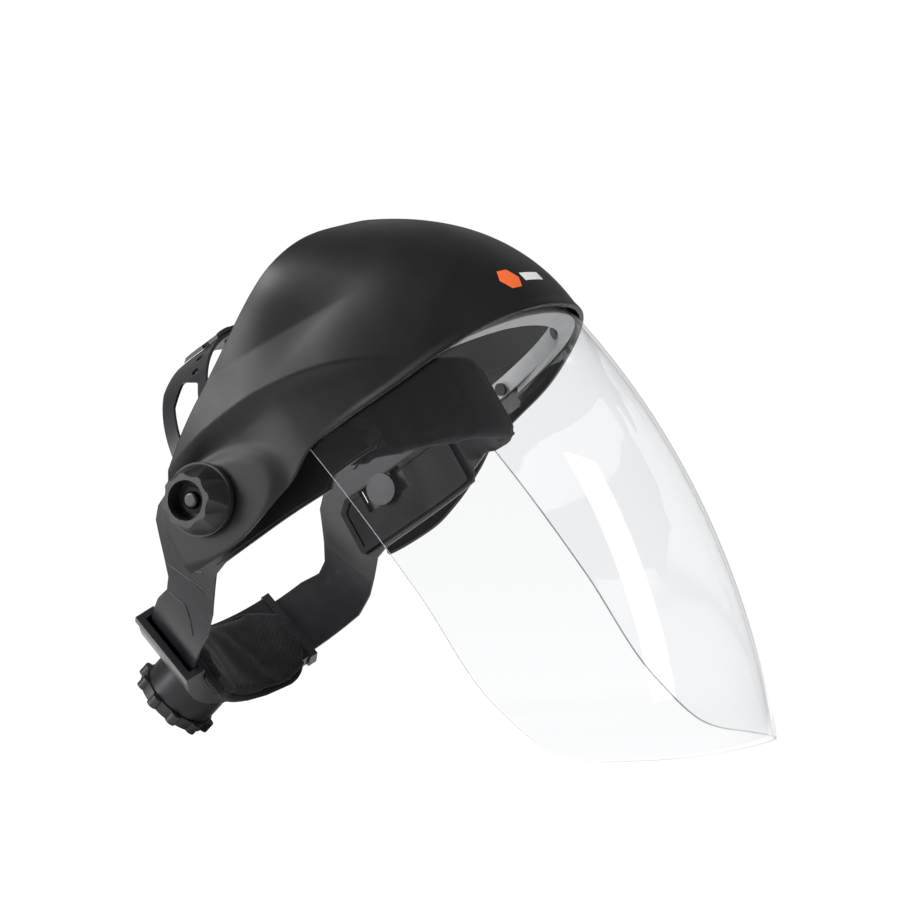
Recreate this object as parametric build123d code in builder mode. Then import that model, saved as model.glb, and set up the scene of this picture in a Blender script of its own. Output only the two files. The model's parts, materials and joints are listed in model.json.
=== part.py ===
from build123d import *

import copy
import os
from math import cos, pi, radians, sin

# Face shield with a tilting crown on a ratchet headgear, in millimetres and degrees.
#
# Everything is drawn in the wearing frame: X forward, Y to the wearer's left, Z up, with the
# brow rim level and the origin on the middle plane. At the end the whole shield is turned
# nose-up to the pose it has on a table, lying on the visor's lower edge and the rear knob.

REST_PITCH = 30.3
BAND_LEAN = 12.5  # the rear half of the headband leans back against the brow rim
LEAN_X = 10.0  # where the upright front half meets the leaning rear half, on the flat sides

# crown
PIVOT_X, PIVOT_Z = 16.0, -7.0
BROW_CENTRE = 20.0  # centre of the brow's plan curve
BROW_REACH = 158.0  # from that centre to the front of the rim
BROW_HALF_WIDTH = 98.0
BROW_POWER = 2.2  # superellipse power of the plan curve
BROW_HEIGHT = 119.0
BROW_BASE_Z = -10.0
ROOF_POWER_FRONT, ROOF_POWER_SIDE = 2.05, 3.3
CROWN_WALL = 2.4
CROWN_TAIL = 52.0  # straight run of the side walls behind the centre

# visor
VISOR_WALL = 1.5
VISOR_GAP = 0.45  # between crown wall, visor and frame
VISOR_REACH = 184.4  # foremost X
VISOR_REACH_Z = -85.0  # height of the foremost point
VISOR_BULGE = 0.00145  # fall of the front line per square millimetre
FRAME_WALL = 2.0
FRAME_LOW, FRAME_HIGH = -4.0, 7.0
FRAME_REAR = 84.0
LEDGE_INNER_REACH, LEDGE_WALL = 142.0, 1.8
STUD_TURNS = (-62, -33, 0, 33, 62)
STUD_Z, STUD_R, STUD_HEAD_R = 1.8, 1.7, 3.2

# headband
BAND_WALL = 1.5
BAND_HALF_WIDTH = 78.8
FRONT_CENTRE, FRONT_REACH = 30.0, 87.5
REAR_CENTRE, REAR_REACH = -12.0, 77.0

# pivot stack, as distances from the middle plane
RAIL_IN, RAIL_OUT = 74.6, 77.2
SLIDER_FLANGE_OUT = 81.1
WASHER_OUT = 82.6
BOSS_IN = 82.7
KNOB_WASHER_IN, KNOB_WASHER_OUT = 98.1, 99.1
KNOB_BASE = 99.2
KNOB_FACE = 113.5
KNOB_BASE_R, KNOB_DISC, KNOB_TAPER = 17.0, 2.6, 18
KNOB_SCALLOP_AT, KNOB_SCALLOP_R, KNOB_SCALLOP_TAPER = 19.6, 3.4, -24
KNOB_FLOOR, KNOB_HOLE_R = 104.5, 9.2
INSERT_R = 6.0
BOLT_R = 4.0
BOLT_HEAD_IN, BOLT_HEAD_R, BOLT_END = 71.6, 8.0, 109.5
SLIDER_LENGTH, SLIDER_HEIGHT = 14.0, 11.6
RUNNING = 0.05  # radial clearance of a running fit
SLIDE_TRAVEL = 6.0  # fore-and-aft travel of the pivots each way
KNOB_LOBES = 8

# front band and sweatband, as offsets from the band's outer face
FRONT_INSET = 1.7
SWEAT_IN, SWEAT_OUT = 9.5, 3.0
SWEAT_SHOULDER = 93.5  # X behind which the sweatband only lines the inside
BAND_RIVET_R = 1.5
BAND_RIVET_TURN = 50.2  # from the front, on the front ellipse
BAND_RIVET_HEIGHTS = (-11.0, -19.0)

# nape unit, in the band's frame
NAPE_Z = -30.0
SHELL_HALF_HEIGHT = 19.5
CHANNEL_HALF_HEIGHT = 17.2
RACK_EDGE, RACK_DEPTH, RACK_GAP = 4.7, 2.1, 1.9
TONGUE_END = 38.0  # how far a tongue reaches past the middle
PAD_LOW, PAD_HIGH = -57.0, -14.5
PAD_HALF_WIDTH, PAD_IN = 45.0, 13.0
MOUTH_ANGLE = 47.0  # from the rear, seen from the rear centre
PINION_TEETH = 11
PINION_R = 6.2
PINION_FRONT, PINION_WIDTH = 86.5, 4.0
RACK_PITCH = 2 * pi * 5.5 / PINION_TEETH
SHAFT_R, SHAFT_BACK = 4.0, 112.0
DRUM_R, DRUM_WALL, DRUM_FLOOR, DRUM_BACK = 19.0, 2.2, 93.8, 108.5
RATCHET_KNOB_R, RATCHET_KNOB_BACK, RATCHET_FLANGE = 20.0, 117.0, 5.5
RATCHET_LOBES, RATCHET_LOBE_R = 10, 3.0
SCREW_R, SCREW_HEAD_R, SCREW_HEAD_FRONT = 1.5, 4.0, 113.6

# over-head strap
STRAP_FOOT_Z = 10.0
STRAP_RISE = 67.0
STRAP_WALL = 1.6
STRAP_HALF_WIDTH = 79.7
STRAP_LIFT = 2.4  # of the left half over the right half at the top
STRAP_HOLE_X, STRAP_HOLE_R = 22.5, 2.3
STRAP_HOLES = (-57, -47, -36, -24, -12, 0, 12, 24, 36, 47, 57)
STRAP_PEGS = (-12, 0)
STRAP_RIVET_R = 1.5
STRAP_RIVETS = ((6, 14), (26, 14))

BAND = Plane(
    origin=(0, 0, 0),
    x_dir=(cos(radians(BAND_LEAN)), 0, sin(radians(BAND_LEAN))),
    z_dir=(-sin(radians(BAND_LEAN)), 0, cos(radians(BAND_LEAN))),
)
KNOB_AXIS = Plane(origin=BAND.from_local_coords(Vector(0, 0, NAPE_Z)), x_dir=(0, 1, 0), z_dir=-BAND.x_dir)
pieces = {}


def keep(name, part):
    """Put a finished piece on the list."""
    pieces[name] = part


def keep_pair(name, right_part):
    """A right-hand piece and its mirror image on the wearer's left."""
    with BuildPart() as left:
        mirror(right_part, about=Plane.XZ)
    keep(f"{name}_right", right_part)
    keep(f"{name}_left", left.part)


def side_prism(points, low_y, high_y, corner=0.0):
    """A prism across the head between two Y values, with its outline drawn in the side view."""
    with BuildPart() as prism:
        with BuildSketch(Plane.XZ.offset(-low_y)):
            with BuildLine():
                Polyline(*points, close=True)
            make_face()
            if corner:
                fillet(vertices(), corner)
        extrude(amount=low_y - high_y)
    return prism.part


def pivot_plane(y):
    """Plane across the right-hand pivot axis at a distance from the middle, facing outwards."""
    return Plane(origin=(PIVOT_X, -y, PIVOT_Z), x_dir=(1, 0, 0), z_dir=(0, -1, 0))


def pivot_disc(inner_y, outer_y, radius, bore=0.0):
    """A disc or ring on the right-hand pivot axis."""
    with BuildPart() as disc:
        with BuildSketch(pivot_plane(inner_y)):
            Circle(radius)
            if bore:
                Circle(bore, mode=Mode.SUBTRACT)
        extrude(amount=outer_y - inner_y)
    return disc.part


def band_curve(offset):
    """The headband's closed plan curve, grown by an offset."""
    half = BAND_HALF_WIDTH + offset
    EllipticalCenterArc((FRONT_CENTRE, 0), FRONT_REACH + offset, half, -90, arc_size=180)
    EllipticalCenterArc((REAR_CENTRE, 0), REAR_REACH + offset, half, 90, arc_size=180)
    Line((FRONT_CENTRE, half), (REAR_CENTRE, half))
    Line((FRONT_CENTRE, -half), (REAR_CENTRE, -half))


def hoop(inner, outer, low, high, plane=BAND):
    """A hoop of the band's plan between two offsets and two heights of a frame."""
    with BuildPart() as ring:
        with BuildSketch(plane.offset(low)):
            with BuildLine():
                band_curve(outer)
            make_face()
            with BuildLine():
                band_curve(inner)
            make_face(mode=Mode.SUBTRACT)
        extrude(amount=high - low)
    return ring.part


def rear_sector(inner, outer, low, high, angle, inner_angle=0.0):
    """The part of a hoop behind two rays from the rear centre, one on each side.

    With an inner angle only the stretch between the two angles is kept, on both sides.
    """
    ring = hoop(inner, outer, low, high)
    with BuildPart() as sector:
        add(ring)
        with BuildSketch(BAND.offset(low)):
            for side in (1, -1):
                with BuildLine():
                    rays = [radians(180 - side * turn) for turn in (inner_angle, angle)]
                    ends = [(REAR_CENTRE + 150 * cos(ray), 150 * sin(ray)) for ray in rays]
                    Polyline((REAR_CENTRE, 0), *ends, close=True)
                make_face()
        extrude(amount=high - low, mode=Mode.INTERSECT)
    return sector.part


def brow_point(turn, reach, half_width):
    """Point of the brow's plan curve; turn is 0 at the front and 90 at the sides."""
    along, across = cos(radians(turn)), sin(radians(turn))
    x = BROW_CENTRE + reach * abs(along) ** (2 / BROW_POWER)
    y = half_width * abs(across) ** (2 / BROW_POWER) * (1 if turn > 0 else -1)
    return x, y


def brow_outline(reach, half_width):
    """Closed plan curve of the brow: a superellipse in front and straight sides to the tail."""
    points = [brow_point(turn, reach, half_width) for turn in range(-90, 91, 10)]
    Spline(*points, tangents=[(1, 0), (-1, 0)])
    Polyline(points[-1], (-CROWN_TAIL, half_width), (-CROWN_TAIL, -half_width), points[0])


def shrink(climb, power):
    """How much of its base width a superelliptic dome has left at a height from 0 to 1."""
    return (1 - max(climb, 0) ** power) ** (1 / power)


def brow_dome(inset):
    """The crown's outer form, or its inner form with an inset, as a closed solid."""
    height = BROW_HEIGHT - inset
    with BuildPart() as dome:
        for level in (-45, -20, -10, 8, 26, 44, 60, 74, 86, 95, 102):
            climb = (level - BROW_BASE_Z) / height
            reach = (BROW_REACH - inset) * shrink(climb, ROOF_POWER_FRONT)
            half_width = (BROW_HALF_WIDTH - inset) * shrink(climb, ROOF_POWER_SIDE)
            with BuildSketch(Plane.XY.offset(level)):
                with BuildLine():
                    brow_outline(reach, half_width)
                make_face()
        loft()
    return dome.part


def stud_plane(turn, depth):
    """Plane across a visor stud, at a depth inside the crown's outer face, facing outwards."""
    x, y = brow_point(turn, BROW_REACH, BROW_HALF_WIDTH)
    along = ((x - BROW_CENTRE) / BROW_REACH) ** (BROW_POWER - 1) / BROW_REACH
    across = (abs(y) / BROW_HALF_WIDTH) ** (BROW_POWER - 1) / BROW_HALF_WIDTH
    return Plane(origin=(x, y, STUD_Z), z_dir=(along, across if y > 0 else -across, 0)).offset(-depth)


def stud_cylinders(radius, inner_extra, outer_depth, inner_depth=None):
    """One cylinder on each stud axis, from behind the frame to a depth inside the crown."""
    with BuildPart() as cylinders:
        for turn in STUD_TURNS:
            start = head_depth(turn) + inner_extra
            with BuildSketch(stud_plane(turn, start)):
                Circle(radius)
            extrude(amount=start - (outer_depth if inner_depth is None else start - inner_depth))
    return cylinders.part


def head_depth(turn):
    """Depth of a stud's head behind the frame; the wall leans in most at the front."""
    return 7.4 + 2.0 * cos(radians(turn))


def visor_form(inset, low, high):
    """The visor's outer form, or a form inset from it, as a closed solid between two heights."""
    steps = 8
    with BuildPart() as form:
        for step in range(steps + 1):
            level = low + (high - low) * step / steps
            reach = VISOR_REACH - VISOR_BULGE * (level - VISOR_REACH_Z) ** 2 - BROW_CENTRE
            half_width = BROW_HALF_WIDTH - CROWN_WALL - VISOR_GAP - inset
            with BuildSketch(Plane.XY.offset(level)):
                with BuildLine():
                    brow_outline(reach - inset, half_width)
                make_face()
        loft()
    return form.part


def band_rivet_discs(radius, inner, outer):
    """Discs on the four band rivet axes between two offsets from the band's outer face."""
    turn = radians(BAND_RIVET_TURN)
    with BuildPart() as discs:
        for side in (-1, 1):
            for height in BAND_RIVET_HEIGHTS:
                x = FRONT_CENTRE + FRONT_REACH * cos(turn)
                y = side * BAND_HALF_WIDTH * sin(turn)
                normal = (cos(turn) / FRONT_REACH, side * sin(turn) / BAND_HALF_WIDTH, 0)
                axis = Plane(origin=(x, y, height), z_dir=normal)
                with BuildSketch(axis.offset(inner)):
                    Circle(radius)
                extrude(amount=outer - inner)
    return discs.part


def strap_rivet_discs(radius, inner_y, outer_y):
    """Discs on the strap rivet axes of both sides between two distances from the middle."""
    with BuildPart() as discs:
        for side in (-1, 1):
            for x, z in STRAP_RIVETS:
                with BuildSketch(Plane(origin=(x, side * inner_y, z), z_dir=(0, side, 0))):
                    Circle(radius)
                extrude(amount=outer_y - inner_y)
    return discs.part


def strap_discs(radius, places, inner, outer):
    """Discs across the strap at the given Y values, between two offsets from its inner face."""
    with BuildPart() as discs:
        for y in places:
            up = (1 - (y / STRAP_HALF_WIDTH) ** 2) ** 0.5
            normal = Vector(0, y / STRAP_HALF_WIDTH ** 2, up / STRAP_RISE)
            axis = Plane(origin=(STRAP_HOLE_X, y, STRAP_FOOT_Z + STRAP_RISE * up), z_dir=normal)
            with BuildSketch(axis.offset(inner)):
                Circle(radius)
            extrude(amount=outer - inner)
    return discs.part


# crown shell: a domed wall trimmed by the rear edge and the brow rim, with two pivot bosses
RIM = [(36, -30), (59, -22.5), (72, -15.5), (90, -13), (118, -10.5), (142, -6.5), (165, -3), (195, -2)]
with BuildPart() as crown_view:
    with BuildSketch(Plane.XZ.offset(120)):
        with BuildLine():
            Spline(*RIM)
            Polyline(RIM[-1], (195, 120), (171.5, 120), (7, 14), (-9, -8), (-9, -32), (22, -33), RIM[0])
        make_face()
    extrude(amount=-240)
outer_form = brow_dome(0)
inner_form = brow_dome(CROWN_WALL)
boss_right = pivot_disc(BOSS_IN, BROW_HALF_WIDTH - 0.5, 15)
bore_right = pivot_disc(BOSS_IN - 1, BROW_HALF_WIDTH + 5, BOLT_R + RUNNING)
stud_holes = stud_cylinders(STUD_R + 0.1, 6, 1.0)
with BuildPart() as crown_shell:
    add(outer_form)
    add(inner_form, mode=Mode.SUBTRACT)
    add(crown_view.part, mode=Mode.INTERSECT)
    add(boss_right)
    mirror(boss_right, about=Plane.XZ)
    add(bore_right, mode=Mode.SUBTRACT)
    mirror(bore_right, about=Plane.XZ, mode=Mode.SUBTRACT)
    add(stud_holes, mode=Mode.SUBTRACT)
keep("crown_shell", crown_shell.part)

# visor: a doubly curved screen, trimmed to its rear and lower edge
VISOR_EDGE = [
    (71, -8), (77, -42), (84.5, -97), (91, -160), (104, -191), (130, -209.5), (158, -224), (200, -240),
]
visor_outside = visor_form(0, -245, 6)
visor_inside = visor_form(VISOR_WALL, -250, 8)
with BuildPart() as visor_view:
    with BuildSketch(Plane.XZ.offset(120)):
        with BuildLine():
            Spline(*VISOR_EDGE)
            Polyline(VISOR_EDGE[-1], (200, 6), (80, 6), VISOR_EDGE[0])
        make_face()
    extrude(amount=-240)
with BuildPart() as visor:
    add(visor_outside)
    add(visor_inside, mode=Mode.SUBTRACT)
    add(visor_view.part, mode=Mode.INTERSECT)
    add(stud_holes, mode=Mode.SUBTRACT)
keep("visor", visor.part)

# visor frame: a strip inside the visor with a ledge towards the forehead
frame_outside = visor_form(VISOR_WALL + VISOR_GAP, FRAME_LOW, FRAME_HIGH)
frame_inside = visor_form(VISOR_WALL + VISOR_GAP + FRAME_WALL, FRAME_LOW + LEDGE_WALL, FRAME_HIGH + 1)
frame_region = side_prism([(FRAME_REAR, -60), (250, -60), (250, 60), (FRAME_REAR, 60)], -120, 120)
with BuildPart() as visor_frame:
    add(frame_outside)
    add(frame_inside, mode=Mode.SUBTRACT)
    with BuildSketch(Plane.XY.offset(FRAME_LOW - 1)):
        with BuildLine():
            brow_outline(LEDGE_INNER_REACH, BROW_HALF_WIDTH - 2)
        make_face()
    extrude(amount=LEDGE_WALL + 2, mode=Mode.SUBTRACT)
    add(frame_region, mode=Mode.INTERSECT)
    add(stud_holes, mode=Mode.SUBTRACT)
keep("visor_frame", visor_frame.part)

stud_pins = stud_cylinders(STUD_R, 0.5, 1.2)
stud_heads = stud_cylinders(STUD_HEAD_R, 1.6, 0, inner_depth=1.6)
with BuildPart() as visor_studs:
    add(stud_heads)
    add(stud_pins)
keep("visor_studs", visor_studs.part)

# pivot stacks
SLOT_LENGTH = SLIDER_LENGTH + 2 * SLIDE_TRAVEL + 0.8
with BuildPart() as slider_slot:
    with BuildSketch(pivot_plane(RAIL_IN - 5)):
        Rectangle(SLOT_LENGTH, SLIDER_HEIGHT + 0.6)
    extrude(amount=12)

with BuildPart() as pivot_slider:
    with BuildSketch(pivot_plane(RAIL_IN + 0.2)):
        Rectangle(SLIDER_LENGTH, SLIDER_HEIGHT)
    extrude(amount=5)
    with BuildSketch(pivot_plane(BAND_HALF_WIDTH + 0.1)):
        RectangleRounded(26, 24, 5)
    extrude(amount=SLIDER_FLANGE_OUT - BAND_HALF_WIDTH - 0.1)
    with BuildSketch(pivot_plane(RAIL_IN - 5)):
        Circle(BOLT_R + RUNNING)
    extrude(amount=20, mode=Mode.SUBTRACT)
keep_pair("pivot_slider", pivot_slider.part)

with BuildPart() as pivot_bolt:
    with BuildSketch(pivot_plane(BOLT_HEAD_IN)):
        Circle(BOLT_HEAD_R)
    extrude(amount=RAIL_IN - 0.2 - BOLT_HEAD_IN)
    with BuildSketch(pivot_plane(RAIL_IN - 0.2)):
        Circle(BOLT_R)
    extrude(amount=BOLT_END - RAIL_IN + 0.2)
    fillet(edges().group_by(Axis.Y)[0], 1.6)
keep_pair("pivot_bolt", pivot_bolt.part)
keep_pair("friction_washer", pivot_disc(SLIDER_FLANGE_OUT + 0.05, WASHER_OUT, 13, BOLT_R + RUNNING))
keep_pair("knob_washer", pivot_disc(KNOB_WASHER_IN, KNOB_WASHER_OUT, 15, BOLT_R + RUNNING))

# tension knobs: a base disc, a tapered scalloped body and a deep hole with the threaded insert
with BuildPart() as tension_knob:
    with BuildSketch(pivot_plane(KNOB_BASE)):
        Circle(KNOB_BASE_R)
    extrude(amount=KNOB_DISC)
    with BuildSketch(pivot_plane(KNOB_BASE + KNOB_DISC)):
        Circle(KNOB_BASE_R - 0.8)
    extrude(amount=KNOB_FACE - KNOB_BASE - KNOB_DISC, taper=KNOB_TAPER)
    with BuildSketch(pivot_plane(KNOB_BASE + KNOB_DISC)):
        with PolarLocations(KNOB_SCALLOP_AT, KNOB_LOBES):
            Circle(KNOB_SCALLOP_R)
    extrude(amount=KNOB_FACE - KNOB_BASE, taper=KNOB_SCALLOP_TAPER, mode=Mode.SUBTRACT)
    with BuildSketch(pivot_plane(KNOB_FLOOR)):
        Circle(KNOB_HOLE_R)
    extrude(amount=KNOB_FACE, mode=Mode.SUBTRACT)
    with BuildSketch(pivot_plane(KNOB_BASE - 1)):
        Circle(INSERT_R + RUNNING)
    extrude(amount=KNOB_FACE, mode=Mode.SUBTRACT)
keep_pair("tension_knob", tension_knob.part)
keep_pair("knob_insert", pivot_disc(KNOB_BASE + 0.2, KNOB_FLOOR + 2.5, INSERT_R, BOLT_R + RUNNING))

# side mouldings: a rigid side plate with its front tab, and a bending arm with its rack tongue
ARM_OUTLINE = [
    (-9, 12), (-4, 19), (32, 19), (38, 6), (62, 4), (67, -4), (87, -6), (91, -10), (91, -19), (87, -23),
    (67, -26), (63, -31), (0, -32), (-7, -34), (-14, -42), (-20, -48.5), (-29, -54.5), (-39, -56.7),
    (-95, -69.1), (-95, -35.7), (-46, -24.8), (-37, -25), (-32, -21), (-28, -12), (-22, 4), (-17, 9),
]
BEND_ZONE = [(-34.2, 0), (-8.1, -60), (-8.1, -110), (-150, -110), (-150, 0)]
bend_zone = side_prism(BEND_ZONE, -95, 95)
upright_hoop = hoop(-BAND_WALL, 0, -90, 60, Plane.XY)
leaning_hoop = hoop(-BAND_WALL, 0, -90, 60)
front_half = side_prism([(LEAN_X, -100), (200, -100), (200, 100), (LEAN_X, 100)], -95, 95)
with BuildPart() as arm_front:
    add(upright_hoop)
    add(front_half, mode=Mode.INTERSECT)
with BuildPart() as arm_rear:
    add(leaning_hoop)
    add(front_half, mode=Mode.SUBTRACT)
with BuildPart() as arm_hoop:
    add(arm_front.part)
    add(arm_rear.part)
right_arm_view = side_prism(ARM_OUTLINE, -95, TONGUE_END)
strap_rivet_holes = strap_rivet_discs(STRAP_RIVET_R + RUNNING, 70, 90)
band_rivet_holes = band_rivet_discs(BAND_RIVET_R + RUNNING, -8, 4)
for side, sign in (("right", -1), ("left", 1)):
    # the left tongue runs over the pinion and the right tongue under it
    edge = NAPE_Z + sign * RACK_EDGE
    low, high = (edge, NAPE_Z + 60) if sign < 0 else (NAPE_Z - 60, edge)
    tongue_cut = rear_sector(-6, 6, low, high, MOUTH_ANGLE - 1)
    with BuildPart() as rack_gaps:
        with BuildSketch(KNOB_AXIS.offset(60)):
            for step in range(-8, 9):
                with Locations(((step + (0.5 if sign > 0 else 0)) * RACK_PITCH, -sign * RACK_EDGE)):
                    Rectangle(RACK_GAP, 2 * RACK_DEPTH)
        extrude(amount=60)
    with BuildPart() as moulding:
        add(arm_hoop.part)
        if sign < 0:
            add(right_arm_view, mode=Mode.INTERSECT)
        else:
            add(mirror(right_arm_view, about=Plane.XZ, mode=Mode.PRIVATE), mode=Mode.INTERSECT)
        add(tongue_cut, mode=Mode.SUBTRACT)
        add(rack_gaps.part, mode=Mode.SUBTRACT)
        add(slider_slot.part, mode=Mode.SUBTRACT)
        mirror(slider_slot.part, about=Plane.XZ, mode=Mode.SUBTRACT)
        add(strap_rivet_holes, mode=Mode.SUBTRACT)
        add(band_rivet_holes, mode=Mode.SUBTRACT)
    with BuildPart() as side_plate:
        add(moulding.part)
        add(bend_zone, mode=Mode.SUBTRACT)
    keep(f"side_plate_{side}", side_plate.part)
    with BuildPart() as rear_arm:
        add(moulding.part)
        add(bend_zone, mode=Mode.INTERSECT)
    keep(f"rear_arm_{side}", rear_arm.part)

# side rails: inner guide plates with a raised rim and the slot for the sliders
RAIL_OUTLINE = [(-12, -5), (-6, 0), (62, 0), (62, -29), (-12, -29)]
RAIL_POCKET = [(-9, -6.5), (-4.5, -3), (59, -3), (59, -26), (-9, -26)]
rail_hoop = hoop(RAIL_IN - BAND_HALF_WIDTH, RAIL_OUT - BAND_HALF_WIDTH, -60, 30, Plane.XY)
rail_floor_hoop = hoop(RAIL_IN - BAND_HALF_WIDTH + 0.8, RAIL_OUT - BAND_HALF_WIDTH, -60, 30, Plane.XY)
for side, low_y, high_y in (("right", -95, -40), ("left", 40, 95)):
    rail_view = side_prism(RAIL_OUTLINE, low_y, high_y, 1.2)
    rail_pocket_view = side_prism(RAIL_POCKET, low_y, high_y)
    with BuildPart() as rail_rim:
        add(rail_hoop)
        add(rail_view, mode=Mode.INTERSECT)
        add(rail_pocket_view, mode=Mode.SUBTRACT)
    with BuildPart() as side_rail:
        add(rail_floor_hoop)
        add(rail_view, mode=Mode.INTERSECT)
        add(rail_rim.part)
        add(slider_slot.part, mode=Mode.SUBTRACT)
        mirror(slider_slot.part, about=Plane.XZ, mode=Mode.SUBTRACT)
    keep(f"side_rail_{side}", side_rail.part)

# front band, its rivets and the sweatband round it
FRONT_OUTLINE = [
    (74, -3), (100, 0), (145, 6), (145, -38), (119, -33), (111, -29.5), (95, -25.5), (82, -23), (74, -22),
]
SWEAT_OUTLINE = [
    (70, 3), (100, 6), (150, 13), (150, -47), (121, -45), (117, -38.5), (111, -35), (95, -31), (82, -27.5),
    (70, -26),
]
front_hoop = hoop(-FRONT_INSET - BAND_WALL, -FRONT_INSET, -90, 60, Plane.XY)
front_view = side_prism(FRONT_OUTLINE, -95, 95)
with BuildPart() as front_band:
    add(front_hoop)
    add(front_view, mode=Mode.INTERSECT)
    add(band_rivet_holes, mode=Mode.SUBTRACT)
keep("front_band", front_band.part)
band_rivet_shanks = band_rivet_discs(BAND_RIVET_R, -FRONT_INSET - BAND_WALL - 0.2, 0.5)
band_rivet_heads = band_rivet_discs(2 * BAND_RIVET_R, 0.05, 1.1)
with BuildPart() as band_rivets:
    add(band_rivet_shanks)
    add(band_rivet_heads)
keep("band_rivets", band_rivets.part)

sweat_hoop = hoop(-SWEAT_IN, SWEAT_OUT, -90, 60, Plane.XY)
sweat_view = side_prism(SWEAT_OUTLINE, -95, 95, 3)
pocket_hoop = hoop(-FRONT_INSET - BAND_WALL - 0.3, 0.3, -90, 60, Plane.XY)
pocket_view = side_prism([(x, z + (0.5 if z > -15 else -0.5)) for x, z in FRONT_OUTLINE], -95, 95)
outer_hoop = hoop(-FRONT_INSET - BAND_WALL - 0.3, SWEAT_OUT + 5, -90, 60, Plane.XY)
tab_view = side_prism([(0, -90), (SWEAT_SHOULDER, -90), (SWEAT_SHOULDER, 60), (0, 60)], -95, 95)
with BuildPart() as sweat_pocket:
    add(pocket_hoop)
    add(pocket_view, mode=Mode.INTERSECT)
with BuildPart() as tab_room:
    add(outer_hoop)
    add(tab_view, mode=Mode.INTERSECT)
with BuildPart() as sweatband:
    add(sweat_hoop)
    add(sweat_view, mode=Mode.INTERSECT)
    add(sweat_pocket.part, mode=Mode.SUBTRACT)
    add(tab_room.part, mode=Mode.SUBTRACT)
keep("sweatband", sweatband.part)

# over-head strap: two overlapping halves with leg windows and adjusting holes
STRAP_OUTLINE = [(2, 8.5), (2, 58), (5, 70), (13, 76), (15, 95), (31, 95), (30, 70), (30, 8.5)]
STRAP_WINDOW = [(9, 24), (23, 24), (25, 50), (14, 57), (9, 46)]
strap_window = side_prism(STRAP_WINDOW, -100, 100, 2)
strap_holes = strap_discs(STRAP_HOLE_R, STRAP_HOLES, -4, 9)
for side, sign, lift, reach in (("right", -1, 0.0, 25), ("left", 1, STRAP_LIFT, 36)):
    strap_view = side_prism(STRAP_OUTLINE, *sorted((sign * 95, -sign * reach)))
    with BuildPart() as strap:
        with BuildSketch(Plane.YZ):
            with Locations((0, STRAP_FOOT_Z)):
                Ellipse(STRAP_HALF_WIDTH + STRAP_WALL, STRAP_RISE + lift + STRAP_WALL)
                Ellipse(STRAP_HALF_WIDTH, STRAP_RISE + lift, mode=Mode.SUBTRACT)
        extrude(amount=60)
        add(strap_view, mode=Mode.INTERSECT)
        add(strap_window, mode=Mode.SUBTRACT)
        add(strap_holes, mode=Mode.SUBTRACT)
        add(strap_rivet_holes, mode=Mode.SUBTRACT)
    keep(f"strap_{side}", strap.part)
strap_top = STRAP_LIFT + STRAP_WALL
peg_shanks = strap_discs(STRAP_HOLE_R - 0.15, STRAP_PEGS, -1.0, strap_top + 0.5)
peg_heads = strap_discs(STRAP_HOLE_R + 1.4, STRAP_PEGS, strap_top + 0.2, strap_top + 1.4)
with BuildPart() as strap_pegs:
    add(peg_shanks)
    add(peg_heads)
keep("strap_pegs", strap_pegs.part)
strap_face = STRAP_HALF_WIDTH + STRAP_WALL
rivet_shanks = strap_rivet_discs(STRAP_RIVET_R, RAIL_OUT - 1.0, strap_face + 0.3)
rivet_heads = strap_rivet_discs(2 * STRAP_RIVET_R, strap_face + 0.05, strap_face + 1)
rivet_tails = strap_rivet_discs(2 * STRAP_RIVET_R, RAIL_OUT - 1.0, RAIL_OUT - 0.05)
with BuildPart() as strap_rivets:
    add(rivet_shanks)
    add(rivet_heads)
    add(rivet_tails)
keep("strap_rivets", strap_rivets.part)

# nape unit: rear shell with two mouths and a drum, front plate, pad and its carrier
shell_low, shell_high = NAPE_Z - SHELL_HALF_HEIGHT, NAPE_Z + SHELL_HALF_HEIGHT
shell = rear_sector(-2.6, 4.8, shell_low, shell_high, MOUTH_ANGLE)
collars = rear_sector(-4.4, 6.2, shell_low - 1, shell_high + 1, MOUTH_ANGLE, MOUTH_ANGLE - 3.5)
channel = hoop(-2.6, 2.6, NAPE_Z - CHANNEL_HALF_HEIGHT, NAPE_Z + CHANNEL_HALF_HEIGHT)
with BuildPart() as ratchet_cover:
    add(shell)
    add(collars)
    with BuildSketch(KNOB_AXIS.offset(89)):
        Circle(DRUM_R)
    extrude(amount=DRUM_BACK - 89)
    add(channel, mode=Mode.SUBTRACT)
    with BuildSketch(KNOB_AXIS.offset(DRUM_FLOOR)):
        Circle(DRUM_R - DRUM_WALL)
    extrude(amount=DRUM_BACK - DRUM_WALL - DRUM_FLOOR, mode=Mode.SUBTRACT)
    with BuildSketch(KNOB_AXIS.offset(80)):
        Circle(SHAFT_R + RUNNING)
    extrude(amount=40, mode=Mode.SUBTRACT)
keep("ratchet_cover", ratchet_cover.part)
plate = rear_sector(-4.3, -2.7, shell_low, shell_high, MOUTH_ANGLE - 3.8)
keep("ratchet_plate", plate)
carrier_hoop = hoop(-5.6, -4.5, -90, 60)
pad_hoop = hoop(-PAD_IN, -5.7, -90, 60)
with BuildPart() as pad_carrier:
    add(carrier_hoop)
    with BuildSketch(KNOB_AXIS.offset(30)):
        with Locations((0, NAPE_Z - (PAD_LOW + PAD_HIGH) / 2 - 1)):
            RectangleRounded(2 * PAD_HALF_WIDTH - 5, PAD_HIGH - PAD_LOW + 2, 11)
    extrude(amount=80, mode=Mode.INTERSECT)
keep("pad_carrier", pad_carrier.part)
with BuildPart() as nape_pad:
    add(pad_hoop)
    with BuildSketch(KNOB_AXIS.offset(30)):
        with Locations((0, NAPE_Z - (PAD_LOW + PAD_HIGH) / 2)):
            RectangleRounded(2 * PAD_HALF_WIDTH, PAD_HIGH - PAD_LOW, 13)
    extrude(amount=80, mode=Mode.INTERSECT)
keep("nape_pad", nape_pad.part)
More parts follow.
